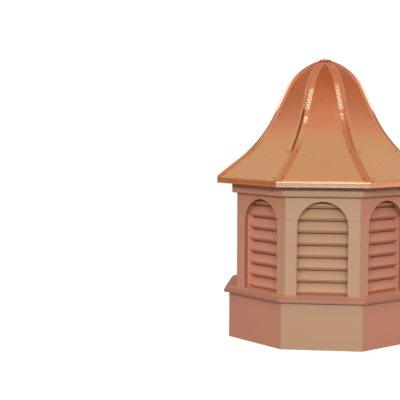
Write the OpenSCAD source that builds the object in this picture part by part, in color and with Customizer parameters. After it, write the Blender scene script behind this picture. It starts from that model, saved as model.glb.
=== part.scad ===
// Barn cupola: an eight-sided louvred box on a plain base skirt, under a
// bell-curved copper roof with a rib on each hip.
// Millimetres, +Z up. The origin is the centre of the base's underside, and
// the front face looks along -Y. Sizes across the flats are between two
// opposite faces.

/* [Base] */
// Size across the flats of the base skirt
base_flats = 762; // [700:2:840]
// Height of the base skirt up to the sill
base_h = 187; // [120:1:260]
// Thickness of the trim boards, skirt and wall
board_t = 19; // [16:1:22]

/* [Sill] */
// How far the sill stands out past the base skirt
sill_out = 21; // [12:1:30]
// Height of the sill's square front edge
sill_edge = 10; // [6:1:14]
// Width of the bevel from that edge up to the sill's level top
sill_bevel = 11; // [6:1:16]
// Full thickness of the sill under the wall
sill_t = 20; // [18:1:26]
// How far the sill runs in under the louvres, behind the wall's face
sill_in = 89; // [84:1:100]

/* [Wall] */
// Size across the flats of the louvred wall
wall_flats = 702; // [692:2:720]
// Height of the wall from the sill to the soffit
wall_h = 431; // [400:1:470]
// Height of the stiles, up to the seam under the arched head boards
stile_h = 296; // [284:1:310]
// Width of each arched opening
opening_w = 197; // [180:1:200]
// Height of the opening's springing above the sill
spring_h = 270; // [258:1:276]

/* [Louvres] */
// Number of slats in each opening
slat_count = 8; // [6:1:8]
// Height from one slat to the next
slat_pitch = 48.6; // [46:0.1:50]
// Thickness of a slat
slat_t = 19; // [16:1:20]
// Slope of a slat, down and outward
slat_angle = 46; // [42:1:48]
// Depth of a slat's underside from front to back, measured level
slat_run = 26; // [22:1:30]
// How far the slats' lowest corners lie behind the wall's face
slat_setback = 39; // [35:1:41]
// Height of the lowest slat's lowest corner above the sill
slat_first = 0.4; // [0.4:0.2:4]
// Thickness of the louvre's side pieces
cheek_t = 12; // [8:1:12]

/* [Frieze] */
// Height of the frieze boards under the eave
frieze_h = 43; // [30:1:60]
// How far the frieze boards stand out from the wall
frieze_t = 20; // [16:1:24]

/* [Roof] */
// Size across the flats of the roof at its eave
eave_flats = 862; // [840:2:900]
// Height of the copper edge strip round the eave
fascia_h = 22; // [18:1:30]
// Thickness of the soffit boards
soffit_t = 18; // [16:1:18]
// Slope of the roof at the eave, in degrees
eave_slope = 38.8; // [36:0.2:41]
// Slope of the steep middle part, in degrees
steep_slope = 65.3; // [63:0.1:67]
// Slope where the panels meet at the top, in degrees
crown_slope = 11.8; // [10:0.2:16]
// Length of the straight part above the eave
eave_run = 113; // [95:1:120]
// Radius of the hollow curve
hollow_r = 506; // [470:1:520]
// Length of the straight steep part
steep_run = 113; // [95:1:120]
// Thickness that the copper panels are given
skin = 3; // [2:0.5:4]
// Width of a hip rib's flange on each side of the hip
flange_w = 24; // [18:1:26]
// Thickness of that flange
flange_t = 2.5; // [2:0.5:3]
// Half the width of the raised ridge on a hip rib
ridge_half = 6; // [5:1:8]
// Height of the raised ridge above the panel
ridge_h = 5; // [4:0.5:6]

/* [Peak] */
// Radius of the hole for a finial or vane rod
rod_r = 9.6; // [8:0.1:11]
// Radius of the peak cap
cap_r = 26; // [24:1:30]
// Radius of the wooden block inside the peak
block_r = 32; // [28:1:34]
// Height of that block
block_h = 56; // [45:1:70]

/* [Hidden] */
$fn = 64;
T = tan(22.5);
gap = 0.4; // mitre joints, and clearance where pieces meet
ab = base_flats / 2;
aw = wall_flats / 2;
ae = eave_flats / 2;
z_sill = base_h;
z_wall = z_sill + sill_t;
z_seam = z_wall + stile_h;
z_spring = z_wall + spring_h;
z_soffit = z_wall + wall_h;
z_frieze = z_soffit - frieze_h;
z_eave = z_soffit - 2 + fascia_h; // top of the copper edge strip
a_in = aw - board_t; // back of the wall boards
a_nose = aw - slat_setback;
a_back = a_nose - slat_run;
cheek_in = opening_w / 2 + 2;

// The roof's outline: apothem and height, from the eave up to the axis.
// A straight run, a hollow arc, a steep straight run and a rounded crown.
n_hollow = 6;
n_crown = 10;
p1 = [ae - eave_run * cos(eave_slope), z_eave + eave_run * sin(eave_slope)];
function hollow(s) = p1 + hollow_r * [sin(eave_slope) - sin(s), cos(eave_slope) - cos(s)];
p2 = hollow(steep_slope);
p3 = p2 + steep_run * [-cos(steep_slope), sin(steep_slope)];
crown_r = p3[0] / (sin(steep_slope) - sin(crown_slope));
function crown(s) = p3 + crown_r * [sin(s) - sin(steep_slope), cos(s) - cos(steep_slope)];
// Slopes at the points of the outline.
slopes = concat(
    [eave_slope],
    [for (i = [0:n_hollow]) eave_slope + (steep_slope - eave_slope) * i / n_hollow],
    [for (i = [0:n_crown]) steep_slope + (crown_slope - steep_slope) * i / n_crown]);
line = concat(
    [[ae, z_eave]],
    [for (i = [0:n_hollow]) hollow(slopes[i + 1])],
    [for (i = [0:n_crown]) crown(slopes[n_hollow + 2 + i])]);
n_line = len(line);
peak_z = line[n_line - 1][1];
// The outline moved out by d, square to itself.
function shifted(d) = [for (i = [0:n_line - 1]) line[i] + d * [sin(slopes[i]), cos(slopes[i])]];
function reverse(v) = [for (i = [len(v) - 1:-1:0]) v[i]];
// A band between two shifted outlines.
function band(d0, d1) = concat(shifted(d0), reverse(shifted(d1)));
// Height of the crown's arc at apothem a, moved out by d.
function crown_z(a, d) = p3[1] - crown_r * cos(steep_slope)
    + sqrt(pow(crown_r + d, 2) - pow(a - p3[0] + crown_r * sin(steep_slope), 2));

clay = [0.72, 0.53, 0.42];
clay_shade = [0.66, 0.48, 0.38];
copper = [0.78, 0.46, 0.30];
copper_light = [0.86, 0.58, 0.42];
wood = [0.74, 0.60, 0.42];

// Turns what is drawn for the front face to side k, counted towards +X.
module side(k) { rotate([0, 0, 45 * k]) children(); }

// The eighth of the plan that belongs to the front face, less half a joint.
module wedge(a, h0, h1, g = gap) {
    e = g / 2 / cos(22.5);
    translate([0, 0, h0]) linear_extrude(h1 - h0)
        polygon([[0, -e / T - 0.01], [(a + 20) * T - e, -a - 20], [-(a + 20) * T + e, -a - 20]]);
}

// A section drawn as [apothem, height], run along the front face.
module along_face(section, a) {
    translate([-(a + 5) * T, 0, 0]) rotate([90, 0, 90]) linear_extrude(2 * (a + 5) * T)
        polygon([for (p = section) [-p[0], p[1]]]);
}

// One mitred board of the front face, from apothem a0 to a1 and height h0 to h1.
module board(a0, a1, h0, h1) {
    e = gap / 2 / cos(22.5);
    translate([0, 0, h0]) linear_extrude(h1 - h0)
        polygon([[-a1 * T + e, -a1], [a1 * T - e, -a1], [a0 * T - e, -a0], [-a0 * T + e, -a0]]);
}

// The arched opening of the front face, cut square through the wall.
module arched_hole() {
    translate([0, -aw - 5, 0]) rotate([-90, 0, 0]) linear_extrude(board_t + 10) {
        translate([0, -z_spring]) circle(r = opening_w / 2);
        translate([-opening_w / 2, -z_spring]) square([opening_w, z_spring - z_wall + 5]);
    }
}

// The front face's wall between two heights, with the opening cut out.
module wall_part(h0, h1) {
    difference() {
        board(a_in, aw, h0, h1);
        arched_hole();
    }
}

module base_boards() {
    color(clay) for (k = [0:7]) side(k) board(ab - board_t, ab, 0, z_sill);
}

module sill() {
    as = ab + sill_out;
    color(clay) for (k = [0:7]) side(k) intersection() {
        along_face([
            [aw - sill_in, z_sill], [as, z_sill], [as, z_sill + sill_edge],
            [as - sill_bevel, z_wall], [aw - sill_in, z_wall]], as);
        wedge(as, z_sill - 5, z_wall + 5);
    }
}

module corner_stiles() {
    color(clay) for (k = [0:7]) side(k) wall_part(z_wall, z_seam);
}

module head_board(k) {
    color(clay) side(k) wall_part(z_seam, z_soffit);
}

// One sloping slat, with its front edge's lower corner at height h.
module slat(h) {
    rise = slat_run * tan(slat_angle);
    lift = slat_t / cos(slat_angle);
    nose = slat_t * sin(slat_angle);
    section = [
        [a_nose, h], [a_nose + nose, h + slat_t * cos(slat_angle)],
        [a_back, h + rise + lift - 1], [a_back, h + rise]];
    translate([-cheek_in + gap / 2, 0, 0]) rotate([90, 0, 90])
        linear_extrude(2 * cheek_in - gap) polygon([for (p = section) [-p[0], p[1]]]);
}

module louvre(k) {
    top = z_wall + slat_first + slat_pitch * slat_count + 8;
    color(clay_shade) side(k) {
        for (i = [0:slat_count - 1]) slat(z_wall + slat_first + slat_pitch * i);
        for (s = [-1, 1]) translate([s * (cheek_in + cheek_t / 2) - cheek_t / 2, -a_in + gap / 2, z_wall])
            cube([cheek_t, a_in - a_back - gap / 2, top - z_wall]);
    }
}

module frieze_boards() {
    af = aw + frieze_t;
    color(clay) for (k = [0:7]) side(k) intersection() {
        along_face([
            [aw, z_frieze], [af - 3, z_frieze], [af, z_frieze + 5],
            [af, z_soffit], [aw, z_soffit]], af);
        wedge(af, z_frieze - 5, z_soffit + 5);
    }
}

module soffit_boards() {
    color(clay) for (k = [0:7]) side(k) board(aw - 40, ae - skin - 1.2, z_soffit, z_soffit + soffit_t);
}

module eave_fascia() {
    top = z_eave + skin * tan(eave_slope);
    color(copper_light) for (k = [0:7]) side(k) intersection() {
        along_face([
            [ae - skin, z_eave - fascia_h], [ae, z_eave - fascia_h],
            [ae, z_eave], [ae - skin, top]], ae);
        wedge(ae, z_eave - fascia_h - 5, top + 5);
    }
}

module roof_panel(k) {
    color(copper) side(k) difference() {
        intersection() {
            along_face(band(0, -skin), ae);
            wedge(ae - skin - 0.3 - 20, z_eave - 20, peak_z + 20);
        }
        cylinder(h = 3 * peak_z, r = cap_r - 6, center = true);
    }
}

// One half of a hip rib: what lies on the face beside the hip. The hip runs
// along +X, and the face's own normal points 22.5 degrees to its left.
module rib_half(w, d0, d1) {
    intersection() {
        rotate([0, 0, 22.5 + 90]) along_face(band(d0, d1), ae + 10);
        translate([0, 0, z_eave - 30]) linear_extrude(peak_z - z_eave + 60)
            polygon([[0, 0], [ae / cos(22.5), 0], [(ae - w * sin(22.5)) / cos(22.5), w], [w / T + gap, w], [gap, 0.05]]);
    }
}

module hip_rib(k) {
    color(copper_light) rotate([0, 0, -67.5 + 45 * k]) difference() {
        union() for (m = [0, 1]) mirror([0, m, 0]) difference() {
            rib_half(flange_w, gap / 4, ridge_h);
            translate([0, ridge_half, 0]) rib_trim();
        }
        cylinder(h = 3 * peak_z, r = cap_r - 6, center = true);
    }
}

// What is cut off above a rib's flange, beside its ridge.
module rib_trim() {
    intersection() {
        translate([0, -ridge_half, 0]) rotate([0, 0, 22.5 + 90]) along_face(band(flange_t, ridge_h + 20), ae + 10);
        translate([0, 0, z_eave - 30]) linear_extrude(peak_z - z_eave + 60) square([500, 60]);
    }
}

module peak_cap() {
    rim_z = crown_z(cap_r - 6, ridge_h) + gap;
    stem_z = crown_z(block_r, -skin) - gap;
    color(copper_light) difference() {
        union() {
            translate([0, 0, rim_z]) cylinder(h = 4.5, r1 = cap_r, r2 = cap_r - 12);
            translate([0, 0, stem_z]) cylinder(h = rim_z - stem_z + 1, r = cap_r - 6 - gap);
        }
        translate([0, 0, stem_z - 5]) cylinder(h = 60, r = rod_r);
    }
}

module peak_block() {
    top = crown_z(block_r, -skin) - gap;
    color(wood) translate([0, 0, top - block_h]) difference() {
        cylinder(h = block_h, r = block_r);
        translate([0, 0, -5]) cylinder(h = block_h + 10, r = rod_r);
    }
}

base_boards();
sill();
corner_stiles();
head_board(0);  // head_board_front
head_board(1);  // head_board_front_right
head_board(2);  // head_board_right
head_board(3);  // head_board_back_right
head_board(4);  // head_board_back
head_board(5);  // head_board_back_left
head_board(6);  // head_board_left
head_board(7);  // head_board_front_left
louvre(0);  // louvre_front
louvre(1);  // louvre_front_right
louvre(2);  // louvre_right
louvre(3);  // louvre_back_right
louvre(4);  // louvre_back
louvre(5);  // louvre_back_left
louvre(6);  // louvre_left
louvre(7);  // louvre_front_left
frieze_boards();
soffit_boards();
eave_fascia();
roof_panel(0);  // roof_panel_front
roof_panel(1);  // roof_panel_front_right
roof_panel(2);  // roof_panel_right
roof_panel(3);  // roof_panel_back_right
roof_panel(4);  // roof_panel_back
roof_panel(5);  // roof_panel_back_left
roof_panel(6);  // roof_panel_left
roof_panel(7);  // roof_panel_front_left
hip_rib(0);  // hip_rib_1
hip_rib(1);  // hip_rib_2
hip_rib(2);  // hip_rib_3
hip_rib(3);  // hip_rib_4
hip_rib(4);  // hip_rib_5
hip_rib(5);  // hip_rib_6
hip_rib(6);  // hip_rib_7
hip_rib(7);  // hip_rib_8
peak_cap();
peak_block();
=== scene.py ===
import math

import bpy
import numpy as np
from mathutils import Matrix, Vector, noise


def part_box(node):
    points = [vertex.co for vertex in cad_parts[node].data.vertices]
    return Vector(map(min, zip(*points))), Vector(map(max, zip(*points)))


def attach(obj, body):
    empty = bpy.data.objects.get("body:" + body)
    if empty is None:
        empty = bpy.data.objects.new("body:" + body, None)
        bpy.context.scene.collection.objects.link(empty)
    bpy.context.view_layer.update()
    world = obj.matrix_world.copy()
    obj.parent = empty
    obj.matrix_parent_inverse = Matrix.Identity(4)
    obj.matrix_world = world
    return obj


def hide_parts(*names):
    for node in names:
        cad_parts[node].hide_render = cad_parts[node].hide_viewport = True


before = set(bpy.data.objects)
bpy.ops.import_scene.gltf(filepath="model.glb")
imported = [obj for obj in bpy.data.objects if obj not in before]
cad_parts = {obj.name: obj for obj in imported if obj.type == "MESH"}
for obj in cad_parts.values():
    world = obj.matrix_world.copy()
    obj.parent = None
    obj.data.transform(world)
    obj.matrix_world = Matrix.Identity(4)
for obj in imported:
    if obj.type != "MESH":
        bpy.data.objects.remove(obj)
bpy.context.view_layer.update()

# ---------------------------------------------------------------- sizes
# Millimetres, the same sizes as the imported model. Side k is turned 45 * k
# degrees from the front; "a" is the distance from the axis square to a side.
T = math.tan(math.radians(22.5))
C22 = math.cos(math.radians(22.5))
S22 = math.sin(math.radians(22.5))
SIDES = ["front", "front_right", "right", "back_right", "back", "back_left", "left", "front_left"]
GAP = 0.4
BOARD = 19.0
AB, AS, AW, AF, AE = 381.0, 402.0, 351.0, 371.0, 431.0
AIN = AW - BOARD
Z_SILL, SILL_EDGE, Z_WALL = 187.0, 10.0, 207.0
SILL_IN = AW - 89.0
SILL_BEVEL = 11.0
Z_SEAM, Z_SPRING, Z_FRIEZE, Z_SOFFIT = 503.0, 477.0, 595.0, 638.0
ARCH_R = 98.5
SOFFIT_T = 18.0
Z_EAVE, FASCIA_H = 658.0, 22.0
EAVE_SLOPE, STEEP_SLOPE, CROWN_SLOPE = 38.8, 65.3, 11.8
EAVE_RUN, HOLLOW_R, STEEP_RUN = 113.0, 506.0, 113.0
RIB_W, RIDGE_HALF, RIDGE_H = 24.0, 6.0, 5.0
CAP_R, ROD_R, BLOCK_R, BLOCK_H = 26.0, 9.6, 32.0, 56.0
SLATS, SLAT_PITCH, SLAT_T, SLAT_ANGLE, SLAT_RUN, SLAT_FIRST = 8, 48.6, 19.0, 46.0, 26.0, 0.4
A_NOSE = AW - 39.0
A_BACK = A_NOSE - SLAT_RUN
CHEEK_IN, CHEEK_T = 100.5, 12.0


def same(name, value, node, axis, low):
    """Stops the script if a size here isn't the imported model's."""
    lo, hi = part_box(node)
    real = (lo if low else hi)[axis] * 1000
    if abs(real - value) > 0.6:
        raise RuntimeError(f"{name} is {value} here and {real:.2f} in the frame")


same("base", -AB, "base_boards", 1, True)
same("sill", Z_WALL, "sill", 2, False)
same("wall", -AW, "corner_stiles", 1, True)
same("seam", Z_SEAM, "corner_stiles", 2, False)
same("soffit", Z_SOFFIT, "head_board_front", 2, False)
same("frieze", -AF, "frieze_boards", 1, True)
same("eave", -AE, "eave_fascia", 1, True)
same("eave foot", Z_EAVE - FASCIA_H, "eave_fascia", 2, True)
same("louvre", -CHEEK_IN - CHEEK_T, "louvre_front", 0, True)
same("louvre foot", Z_WALL, "louvre_front", 2, True)
same("louvre top", Z_WALL + SLAT_FIRST + SLAT_PITCH * SLATS + 8, "louvre_front", 2, False)
same("louvre back", -A_BACK, "louvre_front", 1, False)

# ---------------------------------------------------------------- outline of the roof
rad = math.radians
_es, _ss, _cs = rad(EAVE_SLOPE), rad(STEEP_SLOPE), rad(CROWN_SLOPE)
P1 = (AE - EAVE_RUN * math.cos(_es), Z_EAVE + EAVE_RUN * math.sin(_es))


def _hollow(s):
    return (P1[0] + HOLLOW_R * (math.sin(_es) - math.sin(s)), P1[1] + HOLLOW_R * (math.cos(_es) - math.cos(s)))


P2 = _hollow(_ss)
P3 = (P2[0] - STEEP_RUN * math.cos(_ss), P2[1] + STEEP_RUN * math.sin(_ss))
CROWN_R = P3[0] / (math.sin(_ss) - math.sin(_cs))
L1 = EAVE_RUN
L2 = L1 + HOLLOW_R * (_ss - _es)
L3 = L2 + STEEP_RUN
L4 = L3 + CROWN_R * (_ss - _cs)


def outline(l):
    """(a, z, slope) at length l up the outline, from the eave to the axis."""
    if l <= L1:
        return (AE - l * math.cos(_es), Z_EAVE + l * math.sin(_es), _es)
    if l <= L2:
        s = _es + (l - L1) / HOLLOW_R
        a, z = _hollow(s)
        return (a, z, s)
    if l <= L3:
        d = l - L2
        return (P2[0] - d * math.cos(_ss), P2[1] + d * math.sin(_ss), _ss)
    s = _ss - (l - L3) / CROWN_R
    return (P3[0] + CROWN_R * (math.sin(s) - math.sin(_ss)), P3[1] + CROWN_R * (math.cos(s) - math.cos(_ss)), s)


def l_of_a(a):
    """Length up the outline where it is a from the axis."""
    lo, hi = 0.0, L4
    for _ in range(60):
        mid = (lo + hi) / 2
        if outline(mid)[0] > a:
            lo = mid
        else:
            hi = mid
    return (lo + hi) / 2


def l_of_z(z):
    lo, hi = 0.0, L4
    for _ in range(60):
        mid = (lo + hi) / 2
        if outline(mid)[1] < z:
            lo = mid
        else:
            hi = mid
    return (lo + hi) / 2


def crown_z(a, d):
    return P3[1] - CROWN_R * math.cos(_ss) + math.sqrt((CROWN_R + d) ** 2 - (a - P3[0] + CROWN_R * math.sin(_ss)) ** 2)


# ---------------------------------------------------------------- mesh building
# How much redder each side's boards are painted. On the sides beside the front this is painted warm light; on the
# others it is a tint that differs from side to side.
SIDE_TINT_AND_WARM_LIGHT = [0.0, 1.0, 0.6, 0.75, 0.4, 0.7, 0.55, 1.0]


def turned(p, k):
    """A point drawn on the front side, (x along it, a out from the axis, z up), on side k, in metres."""
    x, a, z = p
    c, s = math.cos(rad(45 * k)), math.sin(rad(45 * k))
    return ((x * c + a * s) * 0.001, (x * s - a * c) * 0.001, z * 0.001)


class Shape:
    """Closed bodies gathered into one mesh, with a face map along each one's own length."""

    def __init__(self):
        self.v, self.f, self.mat, self.uv, self.tone, self.body = [], [], [], [], [], 0
        self.extra = self.crimp_and_fold_light = None
        self.tint_and_warm_light = []

    def add(self, pts, faces, k=0, along="x", mat=0, tone=None, local=None):
        """pts are (x, a, z) on the front side, or metres in the row frame when k is None."""
        base = len(self.v)
        self.body += 1
        t = noise.random() if tone is None else tone
        jump = np.array((self.body * 0.37 % 3.1, self.body * 0.61 % 2.3))
        self.v += [turned(p, k) if k is not None else tuple(p) for p in pts]
        flat = np.array(local if local is not None else pts, float) * (0.001 if k is not None or local is not None else 1.0)
        maps = [None] * len(faces)
        for size in {len(f) for f in faces}:
            where = [i for i, f in enumerate(faces) if len(f) == size]
            q = flat[np.array([faces[i] for i in where])]
            n = sum(np.cross(q[:, i] - q[:, 0], q[:, i + 1] - q[:, 0]) for i in range(1, size - 1))
            n = np.abs(n)
            uv = np.where((n[:, 1] >= np.maximum(n[:, 0], n[:, 2]))[:, None, None], q[:, :, [0, 2]],
                          np.where((n[:, 2] >= n[:, 0])[:, None, None], q[:, :, [0, 1]], q[:, :, [2, 1]]))
            if along == "z":
                uv = uv[:, :, ::-1]
            uv = uv + jump
            for i, m in zip(where, uv):
                maps[i] = m
        self.uv += maps
        self.f += [[i + base for i in f] for f in faces]
        self.mat += [mat] * len(faces)
        self.tone += [t] * len(faces)
        self.tint_and_warm_light += [0.0 if k is None else SIDE_TINT_AND_WARM_LIGHT[k]] * len(faces)


def rings(shape, loops, k=0, caps=True, closed=False, **how):
    """A body through loops of points, one after another."""
    n = len(loops[0])
    pts = [p for loop in loops for p in loop]
    faces = []
    count = len(loops)
    for j in range(count if closed else count - 1):
        a, b = j * n, (j + 1) % count * n
        for i in range(n):
            m = (i + 1) % n
            faces.append((a + i, b + i, b + m, a + m))
    if caps and not closed:
        faces.append(tuple(range(n)))
        faces.append(tuple(range((count - 1) * n + n - 1, (count - 1) * n - 1, -1)))
    shape.add(pts, faces, k, **how)


def rounded(points, radius, steps=3):
    """A polygon with its corners rounded; radius is one number or one for each corner."""
    out = []
    n = len(points)
    radii = radius if isinstance(radius, (list, tuple)) else [radius] * n
    for i in range(n):
        p, a, b = np.array(points[i], float), np.array(points[i - 1], float), np.array(points[(i + 1) % n], float)
        r = radii[i]
        if r <= 0:
            out.append(tuple(p))
            continue
        u, w = (a - p) / np.linalg.norm(a - p), (b - p) / np.linalg.norm(b - p)
        angle = math.acos(max(-1, min(1, float(u @ w))))
        d = min(r / math.tan(angle / 2), 0.45 * np.linalg.norm(a - p), 0.45 * np.linalg.norm(b - p))
        for t in np.linspace(0, 1, steps + 1):
            q = (1 - t) ** 2 * (p + u * d) + 2 * t * (1 - t) * p + t * t * (p + w * d)
            out.append(tuple(q))
    return out


def clean(me):
    """Faces all looking outward."""
    import bmesh
    bm = bmesh.new()
    bm.from_mesh(me)
    bmesh.ops.recalc_face_normals(bm, faces=bm.faces)
    bm.to_mesh(me)
    bm.free()


def piece(name, shape, mats, nodes, bevel=0.0, segments=2, sharp=32.0, edge_mat=None, clean_up=True):
    me = bpy.data.meshes.new(name)
    me.from_pydata(shape.v, [], shape.f)
    uv = me.uv_layers.new(name="grain")
    uv.data.foreach_set("uv", np.concatenate([np.asarray(f, float).ravel() for f in shape.uv]))
    tone = me.attributes.new("tone", "FLOAT", "FACE")
    tone.data.foreach_set("value", np.array(shape.tone, np.float32))
    if shape.extra:
        painted_reflection = me.attributes.new("painted_reflection", "FLOAT", "FACE")
        painted_reflection.data.foreach_set("value", np.array(shape.extra, np.float32))
    if shape.crimp_and_fold_light:
        crimp_and_fold_light = me.attributes.new("crimp_and_fold_paint", "FLOAT", "POINT")
        crimp_and_fold_light.data.foreach_set("value", np.array(shape.crimp_and_fold_light, np.float32))
    if shape.tint_and_warm_light:
        tint_and_warm_light = me.attributes.new("tint_and_warm_light", "FLOAT", "FACE")
        tint_and_warm_light.data.foreach_set("value", np.array(shape.tint_and_warm_light, np.float32))
    for m in mats:
        me.materials.append(m)
    me.polygons.foreach_set("material_index", shape.mat)
    me.polygons.foreach_set("use_smooth", [True] * len(me.polygons))
    if clean_up:
        clean(me)
    me.set_sharp_from_angle(angle=rad(sharp))
    me.update()
    o = bpy.data.objects.new(name, me)
    bpy.context.scene.collection.objects.link(o)
    if bevel:
        b = o.modifiers.new("eased edges", "BEVEL")
        b.width = bevel * 0.001
        b.segments = segments
        b.limit_method = "ANGLE"
        b.angle_limit = rad(30)
        b.harden_normals = True
        b.use_clamp_overlap = True
        if edge_mat is not None:
            b.material = edge_mat
    if nodes:
        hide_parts(*nodes)
    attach(o, "root")
    return o


noise.seed_set(7)


# ---------------------------------------------------------------- materials
class Tree:
    def __init__(self, name):
        self.m = bpy.data.materials.new(name)
        self.m.use_nodes = True
        self.t = self.m.node_tree
        self.t.nodes.clear()
        self.x = 0

    def new(self, kind, **props):
        n = self.t.nodes.new(kind)
        n.location = (self.x, 0)
        self.x += 180
        for a, b in props.items():
            setattr(n, a, b)
        return n

    def put(self, socket, value):
        if isinstance(value, bpy.types.NodeSocket):
            self.t.links.new(value, socket)
        else:
            socket.default_value = value

    def math(self, op, a, b=0.0, c=None, clamp=False):
        n = self.new("ShaderNodeMath", operation=op, use_clamp=clamp)
        self.put(n.inputs[0], a)
        self.put(n.inputs[1], b)
        if c is not None:
            self.put(n.inputs[2], c)
        return n.outputs[0]

    def mapped(self, vector, scale, location=(0, 0, 0)):
        n = self.new("ShaderNodeMapping")
        self.put(n.inputs["Vector"], vector)
        n.inputs["Scale"].default_value = scale
        n.inputs["Location"].default_value = location
        return n.outputs[0]

    def noise(self, vector, scale, detail=3.0, rough=0.5, distort=0.0):
        n = self.new("ShaderNodeTexNoise")
        self.put(n.inputs["Vector"], vector)
        n.inputs["Scale"].default_value = scale
        n.inputs["Detail"].default_value = detail
        n.inputs["Roughness"].default_value = rough
        n.inputs["Distortion"].default_value = distort
        return n.outputs["Fac"]

    def mix(self, fac, a, b, blend="MIX"):
        n = self.new("ShaderNodeMix", data_type="RGBA", blend_type=blend)
        self.put(n.inputs[0], fac)
        self.put(n.inputs[6], a)
        self.put(n.inputs[7], b)
        return n.outputs[2]

    def ramp(self, fac, stops):
        n = self.new("ShaderNodeValToRGB")
        self.put(n.inputs[0], fac)
        e = n.color_ramp.elements
        while len(e) < len(stops):
            e.new(0.5)
        for i, (at, col) in enumerate(stops):
            e[i].position = at
            e[i].color = (*col, 1.0)
        return n.outputs[0]

    def spread(self, value, lo, hi, to_lo=0.0, to_hi=1.0):
        n = self.new("ShaderNodeMapRange")
        self.put(n.inputs["Value"], value)
        n.inputs["From Min"].default_value = lo
        n.inputs["From Max"].default_value = hi
        n.inputs["To Min"].default_value = to_lo
        n.inputs["To Max"].default_value = to_hi
        return n.outputs[0]

    def done(self, bsdf):
        out = self.new("ShaderNodeOutputMaterial")
        self.t.links.new(bsdf.outputs[0], out.inputs[0])
        return self.m


def rgb(r, g, b):
    return (r, g, b, 1.0)


def coords(t):
    tc = t.new("ShaderNodeTexCoord").outputs["Object"]
    uv = t.new("ShaderNodeUVMap", uv_map="grain").outputs[0]
    tone = t.new("ShaderNodeAttribute", attribute_name="tone").outputs["Fac"]
    return tc, uv, tone


def pvc(name, base, rough=0.46, retint=0.0):
    """Satin cellular PVC board: a matt moulded skin with faint lines along the board."""
    t = Tree(name)
    tc, uv, tone = coords(t)
    cloud = t.noise(tc, 5.0, 3.0)
    lines = t.noise(t.mapped(uv, (3.0, 130.0, 1.0)), 1.0, 4.0, 0.6)
    peel = t.noise(tc, 420.0, 2.0, 0.5)
    scuff = t.noise(t.mapped(uv, (22.0, 70.0, 1.0)), 1.0, 5.0, 0.62, 0.4)
    # lightness: board to board, slow clouds, faint lines
    f = t.math("MULTIPLY_ADD", tone, 0.05, 0.975)
    f = t.math("MULTIPLY_ADD", cloud, 0.07, t.math("SUBTRACT", f, 0.035))
    f = t.math("MULTIPLY_ADD", lines, 0.05, t.math("SUBTRACT", f, 0.025))
    mark = t.spread(scuff, 0.62, 0.78, 0.0, 1.0)
    light = rgb(*[min(1.0, c * 1.07 + 0.012) for c in base])
    col = t.mix(t.math("MULTIPLY", mark, 0.35), rgb(*base), light)
    col = t.mix(retint, col, rgb(*[min(1.0, c * 1.12 + 0.02) for c in base]))
    # painted warm light: each face is pulled towards red by its side's tint
    tint_and_warm_light = t.new("ShaderNodeAttribute", attribute_name="tint_and_warm_light").outputs["Fac"]
    col = t.mix(tint_and_warm_light, col, t.mix(1.0, col, rgb(1.17, 0.87, 0.93), "MULTIPLY"))
    v = t.new("ShaderNodeVectorMath", operation="SCALE")
    t.put(v.inputs[0], col)
    t.put(v.inputs["Scale"], f)
    b = t.new("ShaderNodeBsdfPrincipled")
    t.put(b.inputs["Base Color"], v.outputs[0])
    r = t.math("MULTIPLY_ADD", lines, 0.10, rough - 0.05)
    r = t.math("MULTIPLY_ADD", mark, -0.08, r)
    t.put(b.inputs["Roughness"], r)
    b.inputs["IOR"].default_value = 1.46
    bump = t.new("ShaderNodeBump")
    bump.inputs["Strength"].default_value = 0.22
    bump.inputs["Distance"].default_value = 0.0004
    t.put(bump.inputs["Height"], t.math("MULTIPLY_ADD", peel, 0.6, t.math("MULTIPLY", lines, 0.5)))
    t.put(b.inputs["Normal"], bump.outputs[0])
    return t.done(b)


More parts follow.
